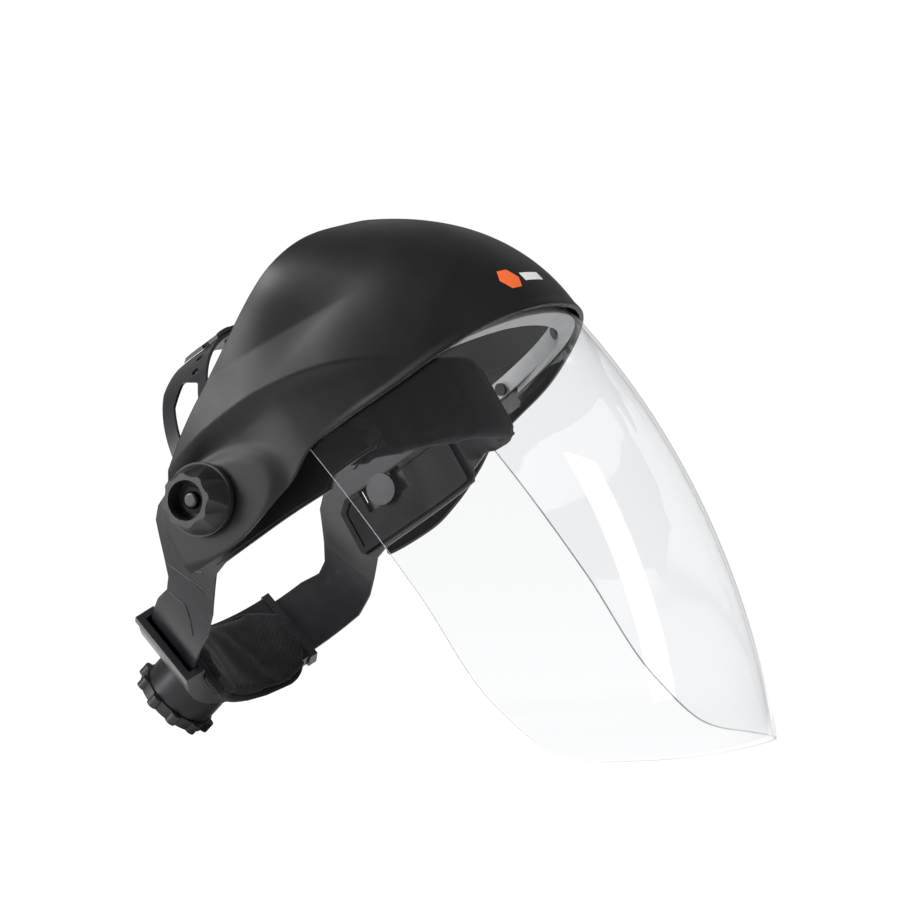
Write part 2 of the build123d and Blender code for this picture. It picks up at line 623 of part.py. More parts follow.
with BuildPart() as detent_ring:
    with BuildSketch(KNOB_AXIS.offset(DRUM_BACK - DRUM_WALL - 1.3)):
        Circle(DRUM_R - DRUM_WALL - 0.4)
        Circle(SHAFT_R + 5, mode=Mode.SUBTRACT)
        with PolarLocations((DRUM_R + SHAFT_R) / 2 + 2, 3):
            SlotCenterToCenter(7, 2.4, rotation=90, mode=Mode.SUBTRACT)
    extrude(amount=1.2)
keep("detent_ring", detent_ring.part)

# rear knob with its pinion and screw
with BuildPart() as ratchet_pinion:
    with BuildSketch(KNOB_AXIS.offset(PINION_FRONT)):
        Circle(PINION_R - 2.2)
        with PolarLocations(PINION_R - 2.4, PINION_TEETH, start_angle=90):
            with Locations((1.2, 0)):
                Trapezoid(1.9, 2.4, 78, rotation=-90)
    extrude(amount=PINION_WIDTH)
    with BuildSketch(KNOB_AXIS.offset(PINION_FRONT)):
        Circle(SHAFT_R)
    extrude(amount=SHAFT_BACK - PINION_FRONT)
    with BuildSketch(KNOB_AXIS.offset(SHAFT_BACK - 8)):
        Circle(SCREW_R + RUNNING)
    extrude(amount=10, mode=Mode.SUBTRACT)
keep("ratchet_pinion", ratchet_pinion.part)

with BuildPart() as ratchet_knob:
    with BuildSketch(KNOB_AXIS.offset(DRUM_BACK + 0.5)):
        Circle(RATCHET_KNOB_R)
        with PolarLocations(RATCHET_KNOB_R - 0.6, RATCHET_LOBES):
            Circle(RATCHET_LOBE_R)
    extrude(amount=RATCHET_FLANGE)
    with BuildSketch(KNOB_AXIS.offset(DRUM_BACK + 0.5 + RATCHET_FLANGE)):
        Circle(RATCHET_KNOB_R - 3)
    extrude(amount=RATCHET_KNOB_BACK - DRUM_BACK - 0.5 - RATCHET_FLANGE, taper=35)
    with BuildSketch(KNOB_AXIS.offset(DRUM_BACK - 1)):
        Circle(SHAFT_R + RUNNING)
    extrude(amount=SHAFT_BACK + 0.2 - DRUM_BACK + 1, mode=Mode.SUBTRACT)
    with BuildSketch(KNOB_AXIS.offset(DRUM_BACK)):
        Circle(SCREW_R + RUNNING)
    extrude(amount=20, mode=Mode.SUBTRACT)
    with BuildSketch(KNOB_AXIS.offset(SCREW_HEAD_FRONT)):
        Circle(SCREW_HEAD_R + 0.3)
    extrude(amount=20, mode=Mode.SUBTRACT)
keep("ratchet_knob", ratchet_knob.part)

with BuildPart() as ratchet_screw:
    with BuildSketch(KNOB_AXIS.offset(SHAFT_BACK - 7.5)):
        Circle(SCREW_R)
    extrude(amount=SCREW_HEAD_FRONT - SHAFT_BACK + 7.5)
    with BuildSketch(KNOB_AXIS.offset(SCREW_HEAD_FRONT)):
        Circle(SCREW_HEAD_R)
    extrude(amount=1.8)
keep("ratchet_screw", ratchet_screw.part)

# lay the shield down: nose-up by the resting pitch, lowest point on the table, centred on the origin
pitch = radians(REST_PITCH)
resting = Plane(origin=(0, 0, 0), x_dir=(0, -cos(pitch), sin(pitch)), z_dir=(0, sin(pitch), cos(pitch)))
lying = resting.location
placed = {name: part.moved(lying) for name, part in pieces.items()}
box = Compound(children=[copy.copy(part) for part in placed.values()]).bounding_box()
to_origin = Location((0, -(box.min.Y + box.max.Y) / 2, -box.min.Z))
os.makedirs("parts", exist_ok=True)
for name, part in placed.items():
    piece = part.moved(to_origin)
    piece.label = name
    export_step(piece, f"parts/{name}.step")
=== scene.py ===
import json
from math import atan2, copysign, cos, degrees, exp, hypot, pi, radians, sin, sqrt, tau

import bmesh
import bpy
import numpy as np
from mathutils import Matrix, Vector
from mathutils.bvhtree import BVHTree


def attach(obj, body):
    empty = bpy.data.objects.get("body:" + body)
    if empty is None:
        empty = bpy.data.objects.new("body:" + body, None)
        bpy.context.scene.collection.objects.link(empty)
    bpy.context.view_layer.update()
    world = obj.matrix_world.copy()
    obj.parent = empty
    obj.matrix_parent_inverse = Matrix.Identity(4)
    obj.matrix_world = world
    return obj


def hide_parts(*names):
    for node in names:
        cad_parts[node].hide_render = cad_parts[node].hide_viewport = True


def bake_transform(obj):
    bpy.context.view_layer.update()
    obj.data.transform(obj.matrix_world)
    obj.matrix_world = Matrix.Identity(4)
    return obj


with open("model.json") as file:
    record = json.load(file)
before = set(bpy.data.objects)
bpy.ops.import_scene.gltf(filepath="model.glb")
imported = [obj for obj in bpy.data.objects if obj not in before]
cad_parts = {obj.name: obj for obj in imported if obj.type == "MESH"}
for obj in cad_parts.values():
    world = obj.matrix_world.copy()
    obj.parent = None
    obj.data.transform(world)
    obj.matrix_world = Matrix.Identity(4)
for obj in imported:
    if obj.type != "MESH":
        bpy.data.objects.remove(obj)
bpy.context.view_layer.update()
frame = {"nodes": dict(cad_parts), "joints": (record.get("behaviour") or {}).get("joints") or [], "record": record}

# ---------------------------------------------------------------- frames, in mm of the wearing position
REST_PITCH = radians(30.3)  # how far the shield is tipped nose-up as it lies
BAND_LEAN = radians(12.5)
JOINTS = {joint["name"]: joint for joint in frame["joints"]}
PIVOT = Vector(JOINTS["crown_tilt"]["pos_m"])
PIVOT_X, PIVOT_Z = 16, -7
SIDES = ((-1, "right"), (1, "left"))
FORWARD = Vector((0, -cos(REST_PITCH), sin(REST_PITCH)))
UPWARD = Vector((0, sin(REST_PITCH), cos(REST_PITCH)))
LEFTWARD = Vector((1, 0, 0))


def head(x, y, z):
    """A point of the wearing frame (forward, wearer's left, up; mm) in the row frame (m)."""
    x, y, z = float(x), float(y), float(z)
    return PIVOT + ((x - PIVOT_X) * FORWARD + y * LEFTWARD + (z - PIVOT_Z) * UPWARD) / 1000


def band(x, y, z):
    """A point of the leaning headband's frame (mm) in the row frame (m)."""
    return head(x * cos(BAND_LEAN) - z * sin(BAND_LEAN), y, x * sin(BAND_LEAN) + z * cos(BAND_LEAN))


def to_head(point):
    """The wearing-frame millimetres of a row-frame point."""
    offset = (Vector(point) - PIVOT) * 1000
    return Vector((offset.dot(FORWARD) + PIVOT_X, offset.dot(LEFTWARD), offset.dot(UPWARD) + PIVOT_Z))


def to_band(point):
    """The band-frame millimetres of a row-frame point."""
    x, y, z = to_head(point)
    return Vector((x * cos(BAND_LEAN) + z * sin(BAND_LEAN), y, z * cos(BAND_LEAN) - x * sin(BAND_LEAN)))


def smooth(value, low, high):
    """0 below low, 1 above high, and smooth between."""
    t = min(max((value - low) / (high - low), 0), 1)
    return t * t * (3 - 2 * t)


# ---------------------------------------------------------------- materials
GRAIN = 5000.0  # cells per metre of the grain on moulded plastic
FUZZ = 900.0  # the same for turning marks and the nap of fabric


def new_material(name):
    """A material with its Principled shader, and a helper that adds nodes to it."""
    material = bpy.data.materials.new(name)
    material.use_nodes = True
    nodes, links = material.node_tree.nodes, material.node_tree.links
    shader = next(node for node in nodes if node.type == "BSDF_PRINCIPLED")

    def add(kind, inputs=None, **settings):
        node = nodes.new(kind)
        for key, value in settings.items():
            setattr(node, key, value)
        for key, value in (inputs or {}).items():
            if isinstance(value, bpy.types.NodeSocket):
                links.new(value, node.inputs[key])
            else:
                node.inputs[key].default_value = value
        return node

    return material, shader, add, links


def mottled(add, place, scale, low, high):
    """A noise pattern mapped from its middle range to two values."""
    noise = add("ShaderNodeTexNoise", {"Vector": place, "Scale": scale, "Detail": 4.0})
    return add("ShaderNodeMapRange", {
        "Value": noise.outputs["Fac"], "From Min": 0.3, "From Max": 0.7, "To Min": low, "To Max": high,
    }).outputs["Result"]


def moulded(name, dark, light, rough, grain_depth, shine=0.3):
    """Moulded plastic: slight colour and gloss variation, a fine grain and faintly rubbed edges."""
    material, shader, add, links = new_material(name)
    place = add("ShaderNodeTexCoord").outputs["Object"]
    tone = add("ShaderNodeMix", {
        "Factor": mottled(add, place, 60, 0, 1), "A": (*dark, 1), "B": (*light, 1),
    }, data_type="RGBA")
    edge = add("ShaderNodeMapRange", {
        "Value": add("ShaderNodeNewGeometry").outputs["Pointiness"],
        "From Min": 0.53, "From Max": 0.62, "To Min": 0, "To Max": 0.35,
    })
    worn = add("ShaderNodeMix", {
        "Factor": edge.outputs["Result"], "A": tone.outputs["Result"],
        "B": (*[min(1, channel * 2.0 + 0.004) for channel in light], 1),
    }, data_type="RGBA")
    links.new(worn.outputs["Result"], shader.inputs["Base Color"])
    links.new(mottled(add, place, 35, rough - 0.05, rough + 0.06), shader.inputs["Roughness"])
    fine = add("ShaderNodeTexNoise", {"Vector": place, "Scale": GRAIN, "Detail": 2.0})
    bump = add("ShaderNodeBump", {"Height": fine.outputs["Fac"], "Strength": 0.2, "Distance": grain_depth})
    links.new(bump.outputs["Normal"], shader.inputs["Normal"])
    shader.inputs["Specular IOR Level"].default_value = shine
    return material


def turned_metal(name, colour, rough):
    """Plated or blackened metal with fine machining marks in its gloss and surface."""
    material, shader, add, links = new_material(name)
    place = add("ShaderNodeTexCoord").outputs["Object"]
    marks = add("ShaderNodeTexNoise", {"Vector": place, "Scale": FUZZ, "Detail": 3.0})
    links.new(add("ShaderNodeMapRange", {
        "Value": marks.outputs["Fac"], "To Min": rough - 0.08, "To Max": rough + 0.1,
    }).outputs["Result"], shader.inputs["Roughness"])
    tone = add("ShaderNodeMix", {
        "Factor": mottled(add, place, 120, 0, 1),
        "A": (*[channel * 0.85 for channel in colour], 1), "B": (*colour, 1),
    }, data_type="RGBA")
    links.new(tone.outputs["Result"], shader.inputs["Base Color"])
    bump = add("ShaderNodeBump", {"Height": marks.outputs["Fac"], "Strength": 0.3, "Distance": 0.0001})
    links.new(bump.outputs["Normal"], shader.inputs["Normal"])
    shader.inputs["Metallic"].default_value = 1.0
    return material


def knitted(name, dark, light, pitch, depth, slant):
    """Knitted or spacer fabric: rows of small cells on a slant, with a sheen."""
    material, shader, add, links = new_material(name)
    place = add("ShaderNodeTexCoord").outputs["Object"]
    turned = add("ShaderNodeMapping", {"Vector": place, "Rotation": (slant, 0.6, 0.35)})
    cells = add("ShaderNodeTexVoronoi", {
        "Vector": turned.outputs["Vector"], "Scale": 1 / pitch, "Randomness": 0.12,
    })
    height = add("ShaderNodeMapRange", {
        "Value": cells.outputs["Distance"], "From Min": 0.1, "From Max": 0.6, "To Min": 1, "To Max": 0,
    })
    fuzz = add("ShaderNodeTexNoise", {"Vector": place, "Scale": FUZZ, "Detail": 2.0})
    weave = add("ShaderNodeMath", {0: height.outputs["Result"], 1: fuzz.outputs["Fac"]}, operation="MULTIPLY")
    worn = mottled(add, place, 45, 0, 0.5)
    shade = add("ShaderNodeMath", {0: weave.outputs[0], 1: worn}, operation="ADD")
    tone = add("ShaderNodeMix", {
        "Factor": shade.outputs[0], "A": (*dark, 1), "B": (*light, 1),
    }, data_type="RGBA")
    links.new(tone.outputs["Result"], shader.inputs["Base Color"])
    links.new(mottled(add, place, 80, 0.8, 0.95), shader.inputs["Roughness"])
    bump = add("ShaderNodeBump", {"Height": weave.outputs[0], "Strength": 0.8, "Distance": depth})
    links.new(bump.outputs["Normal"], shader.inputs["Normal"])
    shader.inputs["Specular IOR Level"].default_value = 0.12
    shader.inputs["Sheen Weight"].default_value = 0.05
    shader.inputs["Sheen Roughness"].default_value = 0.5
    return material


def clear_sheet(name, tint):
    """Clear polycarbonate: see-through and faintly wavy, with a Fresnel gloss where a face looks outwards."""
    material, shader, add, links = new_material(name)
    place = add("ShaderNodeTexCoord").outputs["Object"]
    wave = add("ShaderNodeTexNoise", {"Vector": place, "Scale": 14.0, "Detail": 1.0})
    bump = add("ShaderNodeBump", {"Height": wave.outputs["Fac"], "Strength": 0.1, "Distance": 0.0003})
    links.new(bump.outputs["Normal"], shader.inputs["Normal"])
    links.new(mottled(add, place, 30, 0.01, 0.04), shader.inputs["Roughness"])
    shader.inputs["Base Color"].default_value = (0.95, 0.96, 0.97, 1)
    shader.inputs["Metallic"].default_value = 1.0
    clear = add("ShaderNodeBsdfTransparent", {"Color": (*tint, 1)})
    gloss = add("ShaderNodeFresnel", {"IOR": 1.5})
    inside = add("ShaderNodeNewGeometry").outputs["Backfacing"]
    share = add("ShaderNodeMix", {"Factor": inside, "A": gloss.outputs[0], "B": 0.0}, data_type="FLOAT")
    mix = add("ShaderNodeMixShader", {
        "Fac": share.outputs["Result"], 1: clear.outputs["BSDF"], 2: shader.outputs["BSDF"],
    })
    output = next(node for node in material.node_tree.nodes if node.type == "OUTPUT_MATERIAL")
    links.new(mix.outputs["Shader"], output.inputs["Surface"])
    return material


def printed(name, colour):
    """Pad-printed ink: nearly flat colour with a faint speckle."""
    material, shader, add, links = new_material(name)
    place = add("ShaderNodeTexCoord").outputs["Object"]
    tone = add("ShaderNodeMix", {
        "Factor": mottled(add, place, 400, 0, 1), "A": (*[c * 0.9 for c in colour], 1), "B": (*colour, 1),
    }, data_type="RGBA")
    links.new(tone.outputs["Result"], shader.inputs["Base Color"])
    links.new(mottled(add, place, 200, 0.45, 0.6), shader.inputs["Roughness"])
    return material


PLASTICS = {  # slot: name, darkest and lightest tone, roughness, depth of the grain in metres, shine
    "crown": ("crown_plastic", (0.003, 0.003, 0.0032), (0.004, 0.004, 0.0042), 0.40, 0.00001, 0.23),
    "inner_strip": ("strip_plastic", (0.20, 0.205, 0.21), (0.25, 0.255, 0.26), 0.4, 0.00002, 0.4),
    "black_plastic": ("arm_plastic", (0.005, 0.005, 0.0062), (0.0075, 0.0075, 0.0092), 0.34, 0.00002, 0.25),
    "knob_plastic": ("knob_plastic", (0.006, 0.006, 0.0065), (0.009, 0.009, 0.0098), 0.42, 0.00003, 0.3),
    "gloss_black": ("gloss_plastic", (0.003, 0.003, 0.004), (0.005, 0.005, 0.006), 0.2, 0.000005, 0.12),
    "washer": ("washer_plastic", (0.012, 0.012, 0.013), (0.018, 0.018, 0.019), 0.5, 0.00003, 0.3),
}
MATERIALS = {slot: moulded(*values) for slot, values in PLASTICS.items()}
MATERIALS |= {
    "clear_screen": clear_sheet("clear_polycarbonate", (0.970, 0.973, 0.977)),
    "metal": turned_metal("plated_steel", (0.42, 0.42, 0.43), 0.32),
    "black_steel": turned_metal("blackened_steel", (0.035, 0.035, 0.037), 0.3),
    "sweat_fabric": knitted(
        "sweatband_cover", (0.003, 0.003, 0.004), (0.007, 0.007, 0.009), 0.0016, 0.00002, 0.5),
    "pad_fabric": knitted(
        "pad_mesh", (0.0015, 0.0015, 0.002), (0.013, 0.013, 0.015), 0.0022, 0.0005, 0.9),
}
SCREEN_EDGE = moulded("screen_edge", (0.42, 0.44, 0.45), (0.50, 0.52, 0.53), 0.3, 0.000005)
SLOTS = {entry["node"]: entry["material_slot"] for entry in frame["record"]["subparts"]}
for name, node in frame["nodes"].items():
    for slot in node.material_slots:
        slot.material = MATERIALS[SLOTS[name]]

# ---------------------------------------------------------------- camera, lights and floor
LENS, SENSOR = 123.6, 36
CAMERA_TARGET = Vector((0.0381, 0.0105, 0.1367))
CAMERA_DISTANCE = 1.5
CAMERA_BACK = Vector((-0.8900, -0.4557, 0.0051))  # from the target towards the camera
CAMERA_UP = Vector((0.0163, -0.0201, 0.9995))
FLOOR_SIZE = 9
BACKDROP_LIGHT, BACKDROP_SEEN = 0.32, 1.02  # the backdrop's strength as a light, and as the camera sees it
PAPER_GLOW, PAPER_GLOW_SHARE = 1.06, 0.95  # how the floor is brightened to white, for the camera alone


def make_camera():
    """The scene's camera, at the photograph's viewing angle."""
    camera = bpy.data.objects.new("camera", bpy.data.cameras.new("camera"))
    bpy.context.scene.collection.objects.link(camera)
    camera.data.sensor_width = SENSOR
    camera.data.lens = LENS
    camera.data.clip_start = 0.01
    toward = CAMERA_BACK.normalized()
    across = CAMERA_UP.normalized().cross(toward).normalized()
    axes = Matrix((across, toward.cross(across), toward)).transposed()
    camera.matrix_world = Matrix.Translation(CAMERA_TARGET + CAMERA_DISTANCE * toward) @ axes.to_4x4()
    bpy.context.scene.camera = camera


def area_light(name, place, target, size, power):
    """A soft rectangular lamp aimed at a point."""
    lamp = bpy.data.objects.new(name, bpy.data.lights.new(name, "AREA"))
    bpy.context.scene.collection.objects.link(lamp)
    lamp.data.shape = "RECTANGLE"
    lamp.data.size, lamp.data.size_y = size
    lamp.data.energy = power
    lamp.location = place
    lamp.rotation_euler = (Vector(target) - Vector(place)).to_track_quat("-Z", "Y").to_euler()


def make_backdrop():
    """A white world, dimmer as a light than the camera sees it."""
    world = bpy.data.worlds.new("studio")
    bpy.context.scene.world = world
    world.use_nodes = True
    nodes, links = world.node_tree.nodes, world.node_tree.links
    strength = nodes.new("ShaderNodeMapRange")
    strength.inputs["To Min"].default_value = BACKDROP_LIGHT
    strength.inputs["To Max"].default_value = BACKDROP_SEEN
    links.new(nodes.new("ShaderNodeLightPath").outputs["Is Camera Ray"], strength.inputs["Value"])
    links.new(strength.outputs["Result"], nodes["Background"].inputs["Strength"])
    nodes["Background"].inputs["Color"].default_value = (1, 1, 1, 1)


def make_floor():
    """A sheet of pale paper that the camera sees nearly white."""
    bpy.ops.mesh.primitive_plane_add(size=FLOOR_SIZE)
    floor = bpy.context.object
    floor.name = "floor"
    material, shader, add, links = new_material("pale_paper")
    place = add("ShaderNodeTexCoord").outputs["Object"]
    tone = add("ShaderNodeMix", {
        "Factor": mottled(add, place, 6, 0, 1), "A": (0.93, 0.93, 0.93, 1), "B": (0.95, 0.95, 0.95, 1),
    }, data_type="RGBA")
    links.new(tone.outputs["Result"], shader.inputs["Base Color"])
    shader.inputs["Roughness"].default_value = 0.8
    glow = add("ShaderNodeEmission", {"Strength": PAPER_GLOW})
    seen = add("ShaderNodeMath", {
        0: add("ShaderNodeLightPath").outputs["Is Camera Ray"], 1: PAPER_GLOW_SHARE,
    }, operation="MULTIPLY")
    mix = add("ShaderNodeMixShader", {
        "Fac": seen.outputs[0], 1: shader.outputs["BSDF"], 2: glow.outputs["Emission"],
    })
    output = next(node for node in material.node_tree.nodes if node.type == "OUTPUT_MATERIAL")
    links.new(mix.outputs["Shader"], output.inputs["Surface"])
    floor.data.materials.append(material)


make_camera()
area_light("top_softbox", (-0.7, 0.5, 1.3), (0, 0, 0.15), (0.7, 0.7), 26)
area_light("side_softbox", (-1.15, 0.95, 0.55), (0, 0.04, 0.14), (0.6, 0.8), 24)
area_light("front_softbox", (-0.5, -1.5, 0.9), (0, -0.05, 0.12), (0.5, 0.9), 7)
make_backdrop()
make_floor()
bpy.context.scene.view_settings.view_transform = "Standard"


# ---------------------------------------------------------------- mesh helpers
def mesh_piece(name, points, faces, slot, body, replaced=(), shade=True):
    """A piece from row-frame points and faces, with its material, body and the CAD nodes it stands for."""
    mesh = bpy.data.meshes.new(name)
    mesh.from_pydata([tuple(point) for point in points], [], faces)
    mesh.validate()
    piece = bpy.data.objects.new(name, mesh)
    bpy.context.scene.collection.objects.link(piece)
    mesh.materials.append(MATERIALS[slot])
    if shade:
        mesh.shade_smooth()
    if replaced:
        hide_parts(*replaced)
    if body:
        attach(piece, body)
    return piece


def grid_faces(rows, columns, closed=False):
    """Quads over a row-major grid of points, wrapped round the columns if closed."""
    return [
        (r * columns + c, r * columns + (c + 1) % columns,
         (r + 1) * columns + (c + 1) % columns, (r + 1) * columns + c)
        for r in range(rows - 1) for c in range(columns if closed else columns - 1)
    ]


def thicken(piece, wall, bevel, rim_material=False):
    """Gives a sheet its wall, inwards, and softens its edges."""
    shell = piece.modifiers.new("wall", "SOLIDIFY")
    shell.thickness = wall
    shell.offset = -1
    if rim_material:
        shell.material_offset_rim = 1
    edge = piece.modifiers.new("edge", "BEVEL")
    edge.width = bevel
    edge.segments = 2
    edge.limit_method = "ANGLE"
    edge.angle_limit = radians(50)


def hermite(t, gap, start, start_slope, end, end_slope):
    """A cubic over a gap, with a value and a slope at each end, as t goes from 0 to 1."""
    return (
        (2 * t ** 3 - 3 * t ** 2 + 1) * start + (t ** 3 - 2 * t ** 2 + t) * gap * start_slope
        + (3 * t ** 2 - 2 * t ** 3) * end + (t ** 3 - t ** 2) * gap * end_slope
    )


# ---------------------------------------------------------------- crown: a sculpted dome
BROW_CENTRE, BROW_REACH, BROW_HALF_WIDTH, BROW_POWER = 20.0, 158.0, 98.0, 2.2
BROW_HEIGHT, BROW_BASE = 119.0, -10.0
ROOF_FRONT, ROOF_SIDE = 2.05, 3.3
FAN = np.array((-45.0, -19.5))  # the rear edge runs straight out from here in the side view
REAR_EDGE = radians(32.8)
LOBE_BACK = -9.0  # the pivot lobe's upright rear edge
CUT_FOOT, CUT_TOP = (-9.0, -8.0), (7.0, 14.0)  # above it the rear edge slants through these places
BEYOND_BROW = 260.0
LOBE = [(-9, -32), (8, -33.2), (22, -33), (36, -30)]
RIM = [(59, -22.5), (72, -15.5), (90, -13), (118, -10.5), (142, -6.5), (165, -3), (195, -2)]


def shrink(climb, power):
    """What is left of the dome's reach or width at a share of its height."""
    return (1 - np.clip(climb, 0, 0.9999) ** power) ** (1 / power)


def dome_reach(z):
    """How far the dome's middle line comes forward of BROW_CENTRE at a height."""
    return BROW_REACH * shrink((z - BROW_BASE) / BROW_HEIGHT, ROOF_FRONT)


def dome_side(x, z):
    """Half the dome's width at a place of the side view."""
    width = BROW_HALF_WIDTH * shrink((z - BROW_BASE) / BROW_HEIGHT, ROOF_SIDE)
    along = np.clip((x - BROW_CENTRE) / dome_reach(z), 0, 1)
    return width * (1 - along ** BROW_POWER) ** (1 / BROW_POWER)


def fan_point(angle, share):
    """Point of the dome in the fan plane at an angle, at a share of the way from its side to its middle."""
    across, up = np.cos(angle), np.sin(angle)
    run, climb = CUT_TOP[0] - CUT_FOOT[0], CUT_TOP[1] - CUT_FOOT[1]
    cut = climb * (CUT_FOOT[0] - FAN[0]) - run * (CUT_FOOT[1] - FAN[1])
    near = np.maximum((LOBE_BACK - FAN[0]) / across, cut / np.maximum(climb * across - run * up, 1))
    low, high = near, np.full_like(near, BEYOND_BROW)
    for _ in range(40):
        middle = (low + high) / 2
        outside = FAN[0] + middle * across - BROW_CENTRE > dome_reach(FAN[1] + middle * up)
        high = np.where(outside, middle, high)
        low = np.where(outside, low, middle)
    steps = np.sin(np.linspace(0, pi / 2, 241))
    out = near[:, None] + (low - near)[:, None] * steps[None]
    x, z = FAN[0] + out * across[:, None], FAN[1] + out * up[:, None]
    y = dome_side(x, z)
    y[:, -1] = 0
    length = np.cumsum(np.sqrt(np.diff(x) ** 2 + np.diff(y) ** 2 + np.diff(z) ** 2), axis=1)
    length = np.concatenate([np.zeros((len(length), 1)), length / length[:, -1:]], axis=1)
    return np.array([[np.interp(s, length[i], line[i]) for line in (x, y, z)] for i, s in enumerate(share)])


def rim_angle():
    """The brow rim's fan angle against its distance from the fan's centre."""
    knots = np.array(LOBE + RIM, float) - FAN
    distance, angle = np.hypot(*knots.T), np.arctan2(knots[:, 1], knots[:, 0])
    slope = np.gradient(angle, distance)
    dense_distance, dense_angle = [], []
    for i in range(len(knots) - 1):
        t = np.linspace(0, 1, 12, endpoint=False)
        gap = distance[i + 1] - distance[i]
        dense_distance.append(distance[i] + t * gap)
        dense_angle.append(hermite(t, gap, angle[i], slope[i], angle[i + 1], slope[i + 1]))
    return np.concatenate(dense_distance), np.concatenate(dense_angle)


RIDGE_TOP, RIDGE_PEAK_X = 19.5, 56.0  # the lower ridge line's highest place in the side view
RIDGE_RISE, RIDGE_FADE_TOP = 3.4, 38.0  # how far the ridge stands out, and the height where it has faded
SEAT_REACH, SEAT_HEIGHT, SEAT_Z = 34.5, 18.5, -14.0  # the oval round the knob where the dome stays plain
VALLEY_DEPTH, LIP, CORNER_RISE, EDGE_FALL = 2.3, 0.7, 5.2, 1.6


def ridge(x):
    """Height of the lower ridge line in the side view, which falls away faster to the front."""
    return RIDGE_TOP - 0.0038 * (x - RIDGE_PEAK_X) ** 2 * (1 if x > RIDGE_PEAK_X else 0.55)


def sculpt(x, z, from_rim, side_share):
    """How far the crown's skin stands out from the plain dome, in mm.

    from_rim goes from 0 at the brow rim to 1 at the rear edge, and side_share from 0 at the side to 1 in
    the middle. The terms are the lower ridge with a valley below it, the brow's lip, and the rear edge, which
    stands out at its corner and falls in above it.
    """
    crest = ridge(x)
    shoulder = 1 - (z - crest) / (RIDGE_FADE_TOP - crest) if z > crest else exp((z - crest) / 5.0)
    rise = RIDGE_RISE * max(shoulder, 0) * smooth(x, 0, 34) * (1 - smooth(x, 96, 138))
    seat = 1 - smooth(sqrt(((x - PIVOT_X) / SEAT_REACH) ** 2 + ((z - SEAT_Z) / SEAT_HEIGHT) ** 2), 0.98, 1.34)
    valley = -VALLEY_DEPTH * (1 - seat) * (1 - smooth(x, 48, 74)) * (1 - smooth(z, crest - 10, crest - 1))
    lip = LIP * (1 - smooth(from_rim, 0.0, 0.05)) * smooth(x, 75, 110)
    corner = CORNER_RISE * smooth(side_share, 0.28, 0.56) * (1 - smooth(side_share, 0.50, 0.84))
    fall = -EDGE_FALL * smooth(side_share, 0.60, 0.86) * (1 - 0.6 * smooth(side_share, 0.86, 1.0))
    near_edge = (corner + fall) * smooth(from_rim, 0.55, 1.0)
    return rise * (1 - seat) + valley + lip + near_edge


def crown_points(rows=104, columns=120):
    """A grid of the plain dome's points on one side, rear edge to brow rim and side to middle."""
    distance, angle = rim_angle()
    shares = np.linspace(0, 1, columns)
    trial = np.linspace(radians(-21), radians(8), 60)
    rim = []
    for share in shares:
        spot = fan_point(trial, np.full_like(trial, share))
        gap = trial - np.interp(np.hypot(spot[:, 0] - FAN[0], spot[:, 2] - FAN[1]), distance, angle)
        crossing = np.nonzero(gap > 0)[0]
        k = max(crossing[0], 1) if len(crossing) else len(trial) - 1
        between = -gap[k - 1] / (gap[k] - gap[k - 1])
        rim.append(trial[k - 1] + between * (trial[k] - trial[k - 1]))
    rim = np.array(rim)
    downs = [row / (rows - 1) for row in range(rows)]
    return np.array([fan_point(REAR_EDGE + (rim - REAR_EDGE) * down, shares) for down in downs])


def crown_skin():
    """The sculpted skin's row-frame points and faces, and whether its faces look outwards."""
    half = crown_points()
    dome = np.concatenate([half * (1, -1, 1), half[:, -2::-1]], axis=1)
    rows, width, _ = dome.shape
    normals = np.cross(np.gradient(dome, axis=1), np.gradient(dome, axis=0))
    normals /= np.linalg.norm(normals, axis=2, keepdims=True)
    outward = np.sign(np.sum(normals * (dome - np.array((20, 0, 20))), axis=2).mean())
    normals *= outward
    points = []
    for r in range(rows):
        for c in range(width):
            x, _, z = dome[r, c]
            out = sculpt(x, z, 1 - r / (rows - 1), 1 - abs(2 * c / (width - 1) - 1))
            points.append(head(*(dome[r, c] + normals[r, c] * out)))
    return points, grid_faces(rows, width), outward > 0


skin_points, skin_faces, looks_outwards = crown_skin()
crown = mesh_piece("crown_skin", skin_points, skin_faces, "crown", "crown", ("crown_shell",))
if not looks_outwards:
    crown.data.flip_normals()
thicken(crown, 0.0024, 0.0006)


def boss(name, side, inner, outer, radius, bore):
    """A bevelled ring of the crown, on the pivot axis between two distances from the middle plane."""
    profile = [
        (inner, bore), (inner, radius - 0.5), (inner + 0.5, radius), (outer - 0.5, radius),
        (outer, radius - 0.5), (outer, bore),
    ]
    count = 64
    points = [
        head(PIVOT_X + r * cos(tau * k / count), side * y, PIVOT_Z + r * sin(tau * k / count))
        for y, r in profile + profile[:1] for k in range(count)
    ]
    mesh_piece(name, points, grid_faces(len(profile) + 1, count, closed=True), "crown", "crown", shade=False)


for side, word in SIDES:
    boss(f"crown_boss_{word}", side, 82.7, 96.6, 15, 4.05)

# ---------------------------------------------------------------- visor: one clear doubly curved sheet
VISOR_HALF_WIDTH = 95.15
VISOR_FRONT, VISOR_BULGE, VISOR_BULGE_Z = 184.4, 0.00145, -85.0
VISOR_TOP, VISOR_SIDE_TOP = 6.0, -8.0  # the top edge's height in the middle and at the sides
VISOR_CORNER = -186.0  # height at which the rear edge becomes the lower edge
VISOR_BELOW = -232.0  # a height below all of the lower edge
VISOR_EDGE = [
    (71, -8), (77, -42), (84.5, -97), (91, -160), (104, -191), (130, -209.5), (158, -224), (200, -240),
]


def visor_reach(z):
    """How far the visor's middle line is forward of BROW_CENTRE at a height."""
    return VISOR_FRONT - VISOR_BULGE * (z - VISOR_BULGE_Z) ** 2 - BROW_CENTRE


